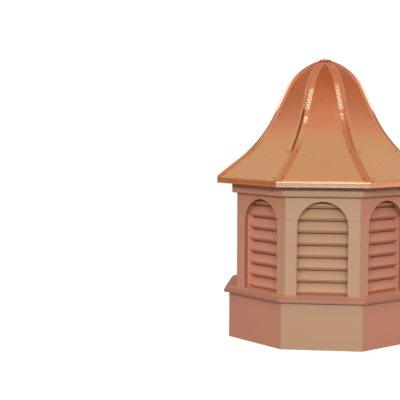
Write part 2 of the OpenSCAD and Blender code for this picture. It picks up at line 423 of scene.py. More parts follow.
def copper(name, stops, z0, z1, rough=0.4, mottle=0.10, streak=0.5, wave=0.0, painted_reflection=False, relief=0.30):
    """Bare copper: rolled sheet, with faint lines along its length and slow changes of tint."""
    t = Tree(name)
    tc, uv, tone = coords(t)
    sep = t.new("ShaderNodeSeparateXYZ")
    t.put(sep.inputs[0], tc)
    drift = t.noise(tc, 3.2, 2.0)
    up = t.spread(sep.outputs["Z"], z0, z1)
    up = t.math("ADD", up, t.math("MULTIPLY_ADD", drift, 0.12, -0.06))
    base = t.ramp(up, stops)
    cloud = t.noise(tc, 9.0, 4.0, 0.55, 0.3)
    lines = t.noise(t.mapped(uv, (1.6, 240.0, 1.0)), 1.0, 5.0, 0.65)
    fine = t.noise(t.mapped(uv, (9.0, 1400.0, 1.0)), 1.0, 2.0, 0.6)
    smear = t.noise(t.mapped(uv, (6.0, 14.0, 1.0)), 1.0, 5.0, 0.6, 0.9)
    warm = t.mix(t.math("MULTIPLY", t.spread(cloud, 0.4, 0.75), 0.14), base, rgb(0.84, 0.33, 0.16))
    if painted_reflection:
        # painted reflection: a darker, redder strip along the ribs
        reflection_strip = t.new("ShaderNodeAttribute", attribute_name="painted_reflection").outputs["Fac"]
        deep = t.mix(1.0, warm, rgb(0.93, 0.64, 0.58), "MULTIPLY")
        warm = t.mix(reflection_strip, warm, deep)
        # painted light from the rib's mesh: a cream painted highlight where the value is below 0, painted shade where
        # it is above 0
        crimp_and_fold_light = t.new("ShaderNodeAttribute", attribute_name="crimp_and_fold_paint").outputs["Fac"]
        warm = t.mix(t.spread(crimp_and_fold_light, 0.0, -1.0), warm, rgb(0.96, 0.76, 0.56))
        warm = t.mix(crimp_and_fold_light, warm, t.mix(1.0, warm, rgb(0.42, 0.24, 0.17), "MULTIPLY"))
    f = t.math("MULTIPLY_ADD", cloud, mottle, 1.0 - mottle * 0.5)
    f = t.math("MULTIPLY_ADD", lines, 0.10, t.math("SUBTRACT", f, 0.05))
    f = t.math("MULTIPLY_ADD", tone, 0.05, t.math("SUBTRACT", f, 0.025))
    v = t.new("ShaderNodeVectorMath", operation="SCALE")
    t.put(v.inputs[0], warm)
    t.put(v.inputs["Scale"], f)
    b = t.new("ShaderNodeBsdfPrincipled")
    t.put(b.inputs["Base Color"], v.outputs[0])
    b.inputs["Metallic"].default_value = 1.0
    r = t.math("MULTIPLY_ADD", lines, 0.16 * streak, rough - 0.08 * streak)
    r = t.math("MULTIPLY_ADD", t.spread(smear, 0.5, 0.8), min(0.10, relief * 0.34), r)
    t.put(b.inputs["Roughness"], r)
    # the trim's short folds are smoother than the sheets
    bump = t.new("ShaderNodeBump")
    bump.inputs["Strength"].default_value = relief
    bump.inputs["Distance"].default_value = 0.0002
    t.put(bump.inputs["Height"], t.math("MULTIPLY_ADD", fine, 0.5, lines))
    last = bump
    if wave:
        big = t.noise(tc, 11.0, 1.0, 0.4)
        bw = t.new("ShaderNodeBump")
        bw.inputs["Strength"].default_value = 1.0
        bw.inputs["Distance"].default_value = wave
        t.put(bw.inputs["Height"], big)
        t.put(bw.inputs["Normal"], bump.outputs[0])
        last = bw
    t.put(b.inputs["Normal"], last.outputs[0])
    return t.done(b)


def screw_metal(name, base, rough):
    t = Tree(name)
    tc, uv, tone = coords(t)
    grit = t.noise(tc, 900.0, 3.0, 0.6)
    col = t.mix(grit, rgb(*[c * 0.8 for c in base]), rgb(*base))
    b = t.new("ShaderNodeBsdfPrincipled")
    t.put(b.inputs["Base Color"], col)
    b.inputs["Metallic"].default_value = 1.0
    t.put(b.inputs["Roughness"], t.math("MULTIPLY_ADD", grit, 0.15, rough))
    bump = t.new("ShaderNodeBump")
    bump.inputs["Strength"].default_value = 0.2
    bump.inputs["Distance"].default_value = 0.0001
    t.put(bump.inputs["Height"], grit)
    t.put(b.inputs["Normal"], bump.outputs[0])
    return t.done(b)


def softwood(name):
    t = Tree(name)
    tc, uv, tone = coords(t)
    bent = t.mapped(tc, (1.0, 1.0, 0.08))
    wobble = t.noise(bent, 18.0, 3.0)
    w = t.new("ShaderNodeTexWave", wave_type="RINGS", rings_direction="Z")
    off = t.new("ShaderNodeVectorMath", operation="ADD")
    t.put(off.inputs[0], t.mapped(tc, (1.0, 1.0, 0.05), (0.031, 0.017, 0.0)))
    s = t.new("ShaderNodeVectorMath", operation="SCALE")
    t.put(s.inputs[0], wobble)
    s.inputs["Scale"].default_value = 0.006
    t.put(off.inputs[1], s.outputs[0])
    t.put(w.inputs["Vector"], off.outputs[0])
    w.inputs["Scale"].default_value = 60.0
    w.inputs["Distortion"].default_value = 1.5
    fibre = t.noise(t.mapped(tc, (900.0, 900.0, 30.0)), 1.0, 3.0)
    col = t.mix(w.outputs["Fac"], rgb(0.58, 0.40, 0.22), rgb(0.36, 0.21, 0.10))
    col = t.mix(t.math("MULTIPLY", fibre, 0.35), col, rgb(0.70, 0.53, 0.33))
    b = t.new("ShaderNodeBsdfPrincipled")
    t.put(b.inputs["Base Color"], col)
    t.put(b.inputs["Roughness"], t.math("MULTIPLY_ADD", fibre, 0.2, 0.55))
    bump = t.new("ShaderNodeBump")
    bump.inputs["Strength"].default_value = 0.3
    bump.inputs["Distance"].default_value = 0.0003
    t.put(bump.inputs["Height"], fibre)
    t.put(b.inputs["Normal"], bump.outputs[0])
    return t.done(b)


CLAY = (0.425, 0.255, 0.157)
trim = pvc("clay_trim_board", CLAY, 0.50)
trim_edge = pvc("clay_trim_edge", CLAY, 0.42, 0.4)
# Sawn faces, painted darker than the boards: partly painted shade round the arch openings.
trim_cut = pvc("clay_trim_sawn_painted_shade", tuple(c * 0.55 for c in CLAY), 0.66)
# The slats are a lighter copy of the board colour: painted light on their sloping faces.
slat_mat = pvc("clay_slat_painted_light", (0.475, 0.285, 0.176), 0.44)
sheet = copper(
    "copper_sheet_panels",
    [(0.0, (0.905, 0.455, 0.215)), (0.33, (0.905, 0.45, 0.212)), (0.43, (0.93, 0.35, 0.172)), (0.56, (0.81, 0.272, 0.126)),
     (0.69, (0.72, 0.212, 0.088)), (0.82, (0.66, 0.178, 0.064)), (0.90, (0.645, 0.158, 0.052)), (1.0, (0.61, 0.138, 0.042))],
    0.658, 1.13, rough=0.24, wave=0.0003)
under = copper("copper_sheet_inside", [(0.0, (0.62, 0.30, 0.17)), (1.0, (0.55, 0.25, 0.13))], 0.658, 1.13, rough=0.55)
bright = copper("copper_trim_folded", [(0.0, (0.795, 0.52, 0.375)), (1.0, (0.80, 0.48, 0.34))], 0.636, 1.14, rough=0.24, streak=0.15, relief=0.06)
lap_mat = copper("copper_trim_lap", [(0.0, (0.80, 0.45, 0.27)), (1.0, (0.80, 0.45, 0.27))], 0.636, 1.14, rough=0.50, streak=0.2, relief=0.06)
cap_mat = copper("copper_peak_cap", [(0.0, (0.70, 0.27, 0.13)), (1.0, (0.64, 0.22, 0.10))], 0.658, 1.15, rough=0.66, streak=0.3)
ribs_mat = copper(
    "copper_trim_ribs",
    [(0.0, (0.905, 0.455, 0.215)), (0.34, (0.905, 0.455, 0.215)), (0.46, (0.92, 0.38, 0.20)), (0.6, (0.92, 0.37, 0.20)),
     (0.74, (0.92, 0.36, 0.195)), (0.84, (0.90, 0.315, 0.152)), (1.0, (0.80, 0.255, 0.112))],
    0.658, 1.13, rough=0.20, streak=0.3, painted_reflection=True)
fixing = screw_metal("screw_copper", (0.80, 0.45, 0.30), 0.25)
# dark metal: painted shade in the screws' sockets, on the small screw heads and in the peak cap's hole
shade_dark_metal = screw_metal("screw_dark_painted_shade", (0.20, 0.11, 0.08), 0.40)
block_mat = softwood("softwood_block")


# ---------------------------------------------------------------- boards
def mitred(shape, section, k, half_gap=GAP / 2, **how):
    """A length with the section (a, z), mitred to its neighbours."""
    e = half_gap / C22
    rings(shape, [[(-p[0] * T + e, p[0], p[1]) for p in section], [(p[0] * T - e, p[0], p[1]) for p in section]], k, **how)


base = Shape()
for k in range(8):
    mitred(base, [(AB - BOARD, 0), (AB, 0), (AB, Z_SILL), (AB - BOARD, Z_SILL)], k)
piece("base_skirt", base, [trim, trim_edge], ["base_boards"], bevel=0.9, segments=3, edge_mat=1)

sill = Shape()
for k in range(8):
    section = rounded(
        [(SILL_IN, Z_SILL), (AS, Z_SILL), (AS, Z_SILL + SILL_EDGE), (AS - SILL_BEVEL, Z_WALL), (SILL_IN, Z_WALL)],
        [0, 1.0, 3.0, 4.0, 0], 4)
    mitred(sill, section, k)
# Painted light: the sill's top is painted lighter and its edge darker, both redder, for how light falls on them.
for i, f in enumerate(sill.f):
    p = [Vector(sill.v[j]) for j in f[:3]]
    n = (p[1] - p[0]).cross(p[2] - p[0]).normalized()
    if p[0].z > 0.5e-3 + Z_SILL * 0.001 or p[1].z > 0.5e-3 + Z_SILL * 0.001:
        sill.tone[i] = 6.5 if abs(n.z) > 0.95 else -5.3
        sill.tint_and_warm_light[i] = 1.0
piece("sill_lengths", sill, [trim, trim_edge], ["sill"], bevel=0.5, edge_mat=1)


def arch_points(z0, n):
    """Points of the arch from its right foot at height z0 over the top to the left foot."""
    start = math.asin((z0 - Z_SPRING) / ARCH_R)
    return [
        (ARCH_R * math.cos(v), Z_SPRING + ARCH_R * math.sin(v))
        for v in np.linspace(start, math.pi - start, n)]


def slab(shape, low, high, k, cut=(0, None), **how):
    """A board between a lower and an upper line of points. Each point is ((x outside, z), (x inside, z)).
    The faces of the lower line are sawn, within the range cut."""
    n = len(low)
    pts = []
    for row, which, a in ((low, 0, AW), (high, 0, AW), (high, 1, AIN), (low, 1, AIN)):
        pts += [(p[which][0], a, p[which][1]) for p in row]
    faces = []
    for i in range(n - 1):
        for r in range(4):
            a, b = r * n, (r + 1) % 4 * n
            faces.append((a + i, a + i + 1, b + i + 1, b + i))
    faces.append((0, n, 2 * n, 3 * n))
    faces.append((n - 1, 4 * n - 1, 3 * n - 1, 2 * n - 1))
    first = len(shape.f)
    shape.add(pts, faces, k, **how)
    for i in range(n - 1)[slice(*cut)]:
        shape.mat[first + 4 * i + 3] = 2


def ends(x):
    """The mitred end of a wall board at the outside and at the inside face; x is 1 or -1."""
    e = GAP / 2 / C22
    return x * (AW * T - e), x * (AIN * T - e)


for k, side in enumerate(SIDES):
    s = Shape()
    arch = arch_points(Z_SEAM, 49)
    (ro, ri), (lo, li) = ends(1), ends(-1)
    low = [((ro, Z_SEAM), (ri, Z_SEAM))] + [(p, p) for p in arch] + [((lo, Z_SEAM), (li, Z_SEAM))]
    high = [((ro, Z_SOFFIT), (ri, Z_SOFFIT))] + [((p[0], Z_SOFFIT),) * 2 for p in arch] + [((lo, Z_SOFFIT), (li, Z_SOFFIT))]
    slab(s, low, high, k, cut=(1, -1), along="x")
    piece("arched_head_" + side, s, [trim, trim_edge, trim_cut], ["head_board_" + side], bevel=1.0, segments=2, edge_mat=1)

stiles = Shape()
start = math.asin((Z_SEAM - Z_SPRING) / ARCH_R)
for k in range(8):
    for m in (1, -1):
        rows = [(m * ARCH_R, Z_WALL)] + [
            (m * ARCH_R * math.cos(v), Z_SPRING + ARCH_R * math.sin(v)) for v in np.linspace(0, start, 6)]
        out, inn = ends(m)
        low = [(p, p) for p in rows]
        high = [((out, p[1]), (inn, p[1])) for p in rows]
        slab(stiles, low, high, k, along="z")
        if (k, m) in ((7, 1), (1, -1)):  # these two, beside the front corner, get less painted warm light
            stiles.tint_and_warm_light = stiles.tint_and_warm_light[:-(len(stiles.f) // (2 * k + (m < 0) + 1))]
            stiles.tint_and_warm_light += [0.5 if k == 1 else 0.15] * (len(stiles.f) - len(stiles.tint_and_warm_light))
        # painted light: the front-left side's stiles are painted lighter
        if k == 7:
            for i in range(len(stiles.f) - len(stiles.f) // (16 - (m > 0)), len(stiles.f)):
                stiles.tone[i] += 1.3 if m > 0 else 0.8
piece("stile_pairs", stiles, [trim, trim_edge, trim_cut], ["corner_stiles"], bevel=1.0, segments=2, edge_mat=1)

frieze = Shape()
for k in range(8):
    section = rounded(
        [(AW, Z_FRIEZE), (AF - 3, Z_FRIEZE), (AF, Z_FRIEZE + 5), (AF, Z_SOFFIT), (AW, Z_SOFFIT)], [0, 1.0, 1.0, 0, 0], 3)
    mitred(frieze, section, k)
# Painted light: the frieze gets less painted warm light than the other boards, and its front-left length under the eave
# is painted lighter and warmer.
frieze.tint_and_warm_light = [0.35 * w for w in frieze.tint_and_warm_light]
for i in range(len(frieze.f) // 8 * 7, len(frieze.f)):
    frieze.tone[i] = 4.6
    frieze.tint_and_warm_light[i] = 0.65
piece("frieze_mitred", frieze, [trim, trim_edge], ["frieze_boards"], bevel=0.5, edge_mat=1)

soffit = Shape()
for k in range(8):
    mitred(soffit, [(AW - 40, Z_SOFFIT), (AE - 4.2, Z_SOFFIT), (AE - 4.2, Z_SOFFIT + SOFFIT_T), (AW - 40, Z_SOFFIT + SOFFIT_T)], k)
piece("soffit_mitred", soffit, [trim, trim_edge], ["soffit_boards"], bevel=0.7, edge_mat=1)

# ---------------------------------------------------------------- louvres
rise = SLAT_RUN * math.tan(rad(SLAT_ANGLE))
lift = SLAT_T / math.cos(rad(SLAT_ANGLE))
nose = SLAT_T * math.sin(rad(SLAT_ANGLE))
cheek_top = Z_WALL + SLAT_FIRST + SLAT_PITCH * SLATS + 8
for k, side in enumerate(SIDES):
    s = Shape()
    for i in range(SLATS):
        h = Z_WALL + SLAT_FIRST + SLAT_PITCH * i
        section = rounded(
            [(A_NOSE, h), (A_NOSE + nose, h + SLAT_T * math.cos(rad(SLAT_ANGLE))), (A_BACK, h + rise + lift - 1), (A_BACK, h + rise)],
            [1.6, 2.2, 0.6, 0.6], 4)
        half = CHEEK_IN - GAP / 2
        rings(s, [[(x, p[0], p[1]) for p in section] for x in (-half, half)], k)
    for m in (-1, 1):
        c = m * (CHEEK_IN + CHEEK_T / 2)
        x0, x1 = c - CHEEK_T / 2, c + CHEEK_T / 2
        box = rounded([(x0, AIN - GAP / 2), (x1, AIN - GAP / 2), (x1, A_BACK), (x0, A_BACK)], 0.8, 2)
        rings(s, [[(p[0], p[1], z) for p in box] for z in (Z_WALL, cheek_top)], k, along="z")
    # painted shade: the front-right louvre is painted darker
    if k == 1:
        s.tone = [t - 1.3 for t in s.tone]
    piece("louvre_unit_" + side, s, [slat_mat], ["louvre_" + side])

# ---------------------------------------------------------------- edge strip round the eave
# The strip's outer line (a, z) from behind the foot, round the lower hem, up the
# face, round the upper hem and a little way up the roof. It stands 0.6 mm inside
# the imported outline, so that the corner clips and screw heads fit in it.
def strip_line(d):
    """The strip's outer line, moved out by d."""
    pts = []
    zl, zt = Z_EAVE - FASCIA_H, Z_EAVE
    bead = 0.55
    a0 = AE - 0.55 - bead + d  # centre of the lower hem's outer round
    for v in np.linspace(-150, 0, 17):
        pts.append((a0 + bead * math.cos(rad(v)), zl + bead - min(d, 0) + bead * math.sin(rad(v))))
    pts.append((AE - 0.712 + d, zl + 3.6))
    pts.append((AE - 0.86 + d, zl + 3.95))
    pts.append((AE - 1.45 + d, zl + 4.15))
    pts.append((AE - 1.60 + d, zl + 4.5))
    pts.append((AE - 1.60 + d, zt - 7.2))
    pts.append((AE - 1.45 + d, zt - 6.8))
    pts.append((AE - 0.70 + d, zt - 6.5))
    pts.append((AE - 0.55 + d, zt - 6.1))
    pts.append((AE - 0.72 + d, zt - 2.8))
    pts.append((AE - 0.84 + d, zt - 2.7))
    b = 0.30
    cx, cz = AE - 0.84 - b + d, zt - 0.90
    for v in np.linspace(0, 90 - EAVE_SLOPE, 8):
        pts.append((cx + b * math.cos(rad(v)), cz + b * math.sin(rad(v))))
    last = pts[-1]
    for run in (2.0, 6.5):
        pts.append((last[0] - run * math.cos(_es), last[1] + run * math.sin(_es)))
    return pts


def offset_line(pts, d):
    """An open line moved d to its left."""
    out = []
    for i, p in enumerate(pts):
        a, b = pts[max(0, i - 1)], pts[min(len(pts) - 1, i + 1)]
        t = np.array([b[0] - a[0], b[1] - a[1]])
        t /= np.linalg.norm(t)
        out.append((p[0] - t[1] * d, p[1] + t[0] * d))
    return out


outer = strip_line(0.0)
inner = offset_line(outer, 0.8)
strip = Shape()
for k in range(8):
    mitred(strip, outer + inner[::-1], k, half_gap=0.1)
# The fold over the upper hem and the lap on the roof are dull.
LAP = range(len(outer) - 12, len(outer) - 1)
for k in range(8):
    for i in LAP:
        strip.mat[k * (2 * len(outer) + 2) + i] = 1
piece("eave_strip", strip, [bright, lap_mat], ["eave_fascia"], sharp=16)

# Clips lapped round the corners of the strip.
CLIP = 56.0
clips = Shape()
c_out = strip_line(0.5)
c_in = offset_line(c_out, 0.42)
loop = c_out + c_in[::-1]
for k in range(8):
    stations = []
    fold = 1.6
    for p in loop:
        half = p[0] * T
        run = [(half - CLIP, p[0]), (half - CLIP * 0.5, p[0]), (half - fold * 2, p[0]), (half - fold, p[0])]
        col = [np.array(turned((x, a, p[1]), 0)) for x, a in run]
        corner = np.array(turned((half, p[0], p[1]), 0))
        far = [np.array(turned((-x, a, p[1]), 1)) for x, a in run[::-1]]
        arc = [(1 - t) ** 2 * col[-1] + 2 * t * (1 - t) * corner + t * t * far[0] for t in (0.25, 0.5, 0.75)]
        stations.append(col + arc + far)
    c, s_ = math.cos(rad(45 * k)), math.sin(rad(45 * k))
    loops = []
    locs = []
    for j in range(len(stations[0])):
        loops.append([(q[j][0] * c - q[j][1] * s_, q[j][0] * s_ + q[j][1] * c, q[j][2]) for q in stations])
        locs += [(j * 18.0, 0.0, i * 1.2) for i in range(len(loop))]
    n = len(loop)
    pts = [p for lp in loops for p in lp]
    faces = []
    for j in range(len(loops) - 1):
        for i in range(n):
            faces.append((j * n + i, (j + 1) * n + i, (j + 1) * n + (i + 1) % n, j * n + (i + 1) % n))
    faces.append(tuple(range(n)))
    faces.append(tuple(range((len(loops) - 1) * n + n - 1, (len(loops) - 1) * n - 1, -1)))
    first = len(clips.f)
    clips.add(pts, faces, None, local=locs)
    for j in range(len(loops) - 1):
        for i in LAP:
            clips.mat[first + j * n + i] = 1
piece("eave_corner_clips", clips, [bright, lap_mat], [], sharp=16)

# ---------------------------------------------------------------- roof panels
SHEET = 1.2
hole_r = CAP_R - 6


def panel(k):
    s = Shape()
    cols = 28
    stations = list(np.linspace(l_of_a(AE - 3.6), L1, 14)) + list(np.linspace(L1, L2, 30))[1:] + list(np.linspace(L2, L3, 14))[1:] \
        + list(np.linspace(L3, l_of_a(hole_r + 5), 34))[1:]
    top, bottom, flat = [], [], []
    for li, l in enumerate(stations):
        a, z, sl = outline(l)
        for d, keep in ((0.0, top), (-SHEET, bottom)):
            row = []
            for j in range(cols + 1):
                u = 2 * j / cols - 1
                half = a * T - GAP / 2 / C22
                x = u * half
                # sheet laid over a frame is never quite flat
                q = Vector((x * 0.012, l * 0.010, k * 7.3))
                wave = noise.noise(q) * 0.35 + noise.noise(q * 2.3) * 0.12
                wave *= (1 - u ** 8) * min(1.0, l / 60.0, (L4 - l) / 60.0)
                dd = d + min(0.0, wave - 0.25) if d == 0.0 else d + min(0.0, wave - 0.25)
                row.append((x, a + dd * math.sin(sl), z + dd * math.cos(sl)))
                if keep is top:
                    flat.append((l, 0.0, x))
            keep.append(row)
    # the last row is round the hole at the peak
    a_end, z_end, sl = outline(l_of_a(hole_r))
    for d, keep in ((0.0, top), (-SHEET, bottom)):
        row = []
        for j in range(cols + 1):
            v = rad((2 * j / cols - 1) * 22.4)
            aa = (hole_r + 0.1) * math.cos(v)
            _, zz, ss = outline(l_of_a(aa))
            row.append(((hole_r + 0.1) * math.sin(v), aa + d * math.sin(ss), zz + d * math.cos(ss)))
            if keep is top:
                flat.append((L4, 0.0, 7.0 * (2 * j / cols - 1)))
        keep.append(row)
    n = cols + 1
    rows = len(top)
    pts = [p for r in top for p in r] + [p for r in bottom for p in r]
    off = rows * n
    outside, inside, rim = [], [], []
    for i in range(rows - 1):
        for j in range(cols):
            q = (i * n + j, i * n + j + 1, (i + 1) * n + j + 1, (i + 1) * n + j)
            outside.append(q)
            inside.append(tuple(x + off for x in q[::-1]))
    edge = [(0, j) for j in range(n)] + [(i, cols) for i in range(1, rows)] + [(rows - 1, j) for j in range(cols - 1, -1, -1)] \
        + [(i, 0) for i in range(rows - 2, 0, -1)]
    for i in range(len(edge)):
        a, b = edge[i], edge[(i + 1) % len(edge)]
        a, b = a[0] * n + a[1], b[0] * n + b[1]
        rim.append((a, a + off, b + off, b))
    s.add(pts, outside + rim, k, local=flat + flat)
    count = len(outside) + len(rim)
    base = len(s.v) - len(pts)
    for f in inside:
        s.f.append([x + base for x in f])
        s.uv.append([(flat[x - off][0] * 0.001, flat[x - off][2] * 0.001) for x in f])
        s.mat.append(1)
        s.tone.append(s.tone[0])
        s.tint_and_warm_light.append(0.0)
    return s


for k, side in enumerate(SIDES):
    piece("roof_sheet_" + side, panel(k), [sheet, under], ["roof_panel_" + side], sharp=40)

# ---------------------------------------------------------------- hip ribs
CRIMP_LOW, CRIMP_HIGH, CRIMP_PITCH, CRIMP_DEEP, CRIMP_LEAN = 930.0, 1044.0, 11.2, 0.85, 0.52
SKIN = 0.7


def ease(v, lo, hi):
    """0 up to lo, 1 from hi, smooth between."""
    u = min(1.0, max(0.0, (v - lo) / (hi - lo)))
    return u * u * (3 - 2 * u)


def hip_len(l0, l1, steps=40):
    """Length along the hip between two places on the outline."""
    total, last = 0.0, None
    for l in np.linspace(l0, l1, steps):
        a, z, _ = outline(l)
        p = (a / C22, z)
        if last:
            total += math.hypot(p[0] - last[0], p[1] - last[1])
        last = p
    return total


def rib_section(l, along, width, crimp_top, feet, bright):
    """Half the rib's outer line, from the ridge to the edge: (distance from the hip, height above the panel),
    and each point's painted light: shade between the crimps, a highlight on their crests and on the swells."""
    a, z, sl = outline(l)
    w = max(min(width, a * S22 - 0.25), 6.6)
    rh = min(RIDGE_HALF - 2.2 * ease(z, 905.0, 935.0), w * 0.86)
    pts = []
    crimp_and_fold_light = [0.0] * 7
    tip = RIDGE_H - 0.1
    # a narrow folded ridge with a rounded top and a small hollow at its foot
    taper = min(1.0, l / 9.0)
    for u, d in ((0.0, tip), (0.12, tip - 0.10), (0.24, tip - 0.42), (0.38, tip - 1.05), (0.58, 2.7), (0.78, 1.55), (0.92, 1.0)):
        pts.append((u * rh, 0.95 + (d - 0.95) * taper))
    zl = z
    c_in = min(1.0, max(0.0, (zl - CRIMP_LOW) / 7.0)) * min(1.0, max(0.0, (crimp_top - zl) / 7.0))
    # below the crimps the flange swells twice
    swell = 0.0
    for foot in feet:
        swell += (1.5 + 0.065 * (890.0 - feet[0])) * min(1.0, max(0.0, (zl - foot) / 12.5)) * (1.0 - ease(zl, foot + 12.5, foot + 14.8))
    for t in (0.0, 0.06, 0.13, 0.22, 0.36, 0.52, 0.68, 0.82, 0.90, 0.96, 1.0):
        lift = ease(t, -0.04, 0.12) * (1.0 if t < 0.9 else (0.75 if t < 0.97 else 0.6))
        ww = rh + t * (w - rh)
        wave = 0.5 - 0.5 * math.cos(2 * math.pi * (along - CRIMP_LEAN * ww) / CRIMP_PITCH)
        pts.append((ww, 0.85 + (c_in * wave * CRIMP_DEEP + swell) * lift))
        # painted shade in the valleys between crimps, painted highlight on their crests and on the swells
        crimp_and_fold_light.append(c_in * (1.3 - bright) * max(0.0, (0.44 - wave) / 0.44) ** 0.5
                    - c_in * bright * max(0.0, (wave - 0.44) / 0.56) ** 0.6 - swell * 0.15)
    return pts, crimp_and_fold_light


# How much painted shade each hip's fold gets, and its strip of painted redder reflection: from and to across the hip in
# mm, and its top in metres.
FOLD_SHADE = [0.25, 0.6, 0.8, 0.4, 0.7, 0.5, 0.7, 1.0]
RED_STRIP = [(-30, 2.5, 0.905),(3, 30, 0.84), (-30, -3, 0.86), (3, 30, 0.84), (3, 30, 0.82), (-30, 10, 0.87), (3, 30, 0.84), (3, 30, 0.825)]


# Where the crimps end, and how bright their painted highlight is, on the left and the right flange of two hips.
CRIMP_ENDS = {0: ((1044.0, 1.0), (968.0, 0.45)), 7: ((998.0, 0.6), (1022.0, 0.95))}


def rib(k):
    s = Shape()
    l0, l1 = l_of_a(AE - 2.0), l_of_a(hole_r * C22 + 0.15)
    lc0, lc1 = l_of_z(CRIMP_LOW), l_of_z(CRIMP_HIGH)
    st = list(np.linspace(l0, 12, 6)) + list(np.linspace(12, lc0, 52))[1:] + list(np.linspace(lc0, lc1, 150))[1:] + list(np.linspace(lc1, l1, 40))[1:]
    st = sorted(set(round(x, 4) for x in st + list(np.linspace(l_of_z(875.0), l_of_z(930.0), 62))))
    loops, flat, crimp_and_fold_light = [], [], []
    total = 0.0
    last = None
    ang = -67.5 + 45 * k
    c, sn = math.cos(rad(ang)), math.sin(rad(ang))
    for l in st:
        a, z, sl = outline(l)
        if last is not None:
            total += math.hypot((a - last[0]) / C22, z - last[1])
        last = (a, z)
        along = total - 0.0
        up = min(1.0, max(0.0, (z - 790.0) / 130.0))
        wide = RIB_W - 4.4 * up * up * (3 - 2 * up)
        (top_l, bright_l), (top_r, bright_r) = CRIMP_ENDS.get(k, ((CRIMP_HIGH, 0.55), (CRIMP_HIGH, 0.55)))
        feet = (877.0, 891.0) if k == 7 else (890.0, 905.0)
        half_l, paint_l = rib_section(l, along, wide, top_l, feet, bright_l)
        half, paint_r = rib_section(l, along, wide, top_r, feet, bright_r)
        line = [(-w, d) for w, d in half_l[::-1]] + half[1:]
        low = [(w, max(0.04, d - SKIN)) for w, d in line]
        # painted shade along the fold on the hollow part of the roof
        retint = FOLD_SHADE[k] * ease(z, 748.0, 785.0) * (1.0 - ease(z, 926.0, 940.0))
        row = []
        for v, p in zip(paint_l[::-1] + paint_r[1:], line):
            on = retint * ease(p[0], -8.5, -5.5) * (1.0 - ease(p[0], 2.5, 5.5))
            row.append(v if on < 0.02 else max(v, on))
        crimp_and_fold_light += row + row[::-1]
        ring = []
        for w, d in line + low[::-1]:
            x = (a + d * math.sin(sl) - abs(w) * S22) / C22
            zz = z + d * math.cos(sl)
            ring.append(((x * c - w * sn) * 0.001, (x * sn + w * c) * 0.001, zz * 0.001))
            flat.append((total, 0.0, w))
        loops.append(ring)
    n = len(loops[0])
    half_n = n // 2
    pts = [p for r in loops for p in r]
    faces = []
    for j in range(len(loops) - 1):
        for i in range(n):
            m = (i + 1) % n
            faces.append((j * n + i, (j + 1) * n + i, (j + 1) * n + m, j * n + m))
    # ends, as a strip of quads between the upper and the lower line
    for j in (0, len(loops) - 1):
        for i in range(half_n - 1):
            q = (j * n + i, j * n + i + 1, j * n + n - 2 - i, j * n + n - 1 - i)
            faces.append(q if j == 0 else q[::-1])
    s.add(pts, faces, None, local=flat)
    # the cut edges and the underside are dull
    for j in range(len(loops) - 1):
        for i in range(half_n - 1, n):
            s.mat[j * n + i] = 1
    s.crimp_and_fold_light = crimp_and_fold_light
    # painted reflection: a strip of the rib is painted darker and redder
    lo, hi, top = RED_STRIP[k]
    s.extra = []
    for f in faces:
        w = sum(flat[i][2] for i in f) / len(f)
        z = sum(pts[i][2] for i in f) / len(f)
        s.extra.append((1.0 - ease(z, top - 0.06, top)) if lo < w < hi else 0.0)
    return s


for i in range(8):
    piece("hip_cap_%d" % (i + 1), rib(i), [ribs_mat, under], ["hip_rib_%d" % (i + 1)], sharp=38)


# ---------------------------------------------------------------- screws
def screw(shape, at, out, r=4.0, h=1.7, mat=0, dark=1):
    """A round head with a six-sided socket, standing on the point at, looking along out. Metres for at, mm for sizes."""
    out = Vector(out).normalized()
    side = out.orthogonal().normalized()
    other = out.cross(side)
    rows = []
    n = 24

    def row(radius, height, hexed=0.0):
        pts = []
        for i in range(n):
            v = 2 * math.pi * i / n
            q = radius
            if hexed:
                w = (v + math.pi / 6) % (math.pi / 3) - math.pi / 6
                q = radius * ((1 - hexed) + hexed * math.cos(math.pi / 6) / math.cos(w))
            p = Vector(at) + (side * math.cos(v) + other * math.sin(v)) * (q * 0.001) + out * (height * 0.001)
            pts.append(tuple(p))
        rows.append(pts)

    row(r * 1.00, -0.3)
    row(r * 1.00, 0.25)
    row(r * 0.95, 0.55 * h)
    row(r * 0.80, 0.85 * h)
    row(r * 0.58, 0.98 * h)
    row(r * 0.46, h, 1.0)
    row(r * 0.40, h * 0.92, 1.0)
    row(r * 0.36, h * 0.25, 1.0)
    pts = [p for q in rows for p in q]
    faces, mats = [], []
    for j in range(len(rows) - 1):
        for i in range(n):
            m = (i + 1) % n
            faces.append((j * n + i, j * n + m, (j + 1) * n + m, (j + 1) * n + i))
            # the socket is the dark material: painted shade
            mats.append(dark if j == len(rows) - 2 else mat)
    faces.append(tuple(range((len(rows) - 1) * n, len(rows) * n)))
    mats.append(dark)
    faces.append(tuple(range(n - 1, -1, -1)))
    mats.append(mat)
    first = len(shape.f)
    shape.add(pts, faces, None)
    for i, m in enumerate(mats):
        shape.mat[first + i] = m


eave_screws = Shape()
for k in range(8):
    for m in (-1, 1):
        x = m * (AE * T - 44.0)
        at = turned((x, AE - 2.0, Z_EAVE - FASCIA_H / 2 - 1.0), k)
        out = Vector(turned((0, 1000, 0), k))
        screw(eave_screws, at, out, 4.2, 1.75)
piece("eave_strip_screws", eave_screws, [fixing, shade_dark_metal], [], sharp=35)

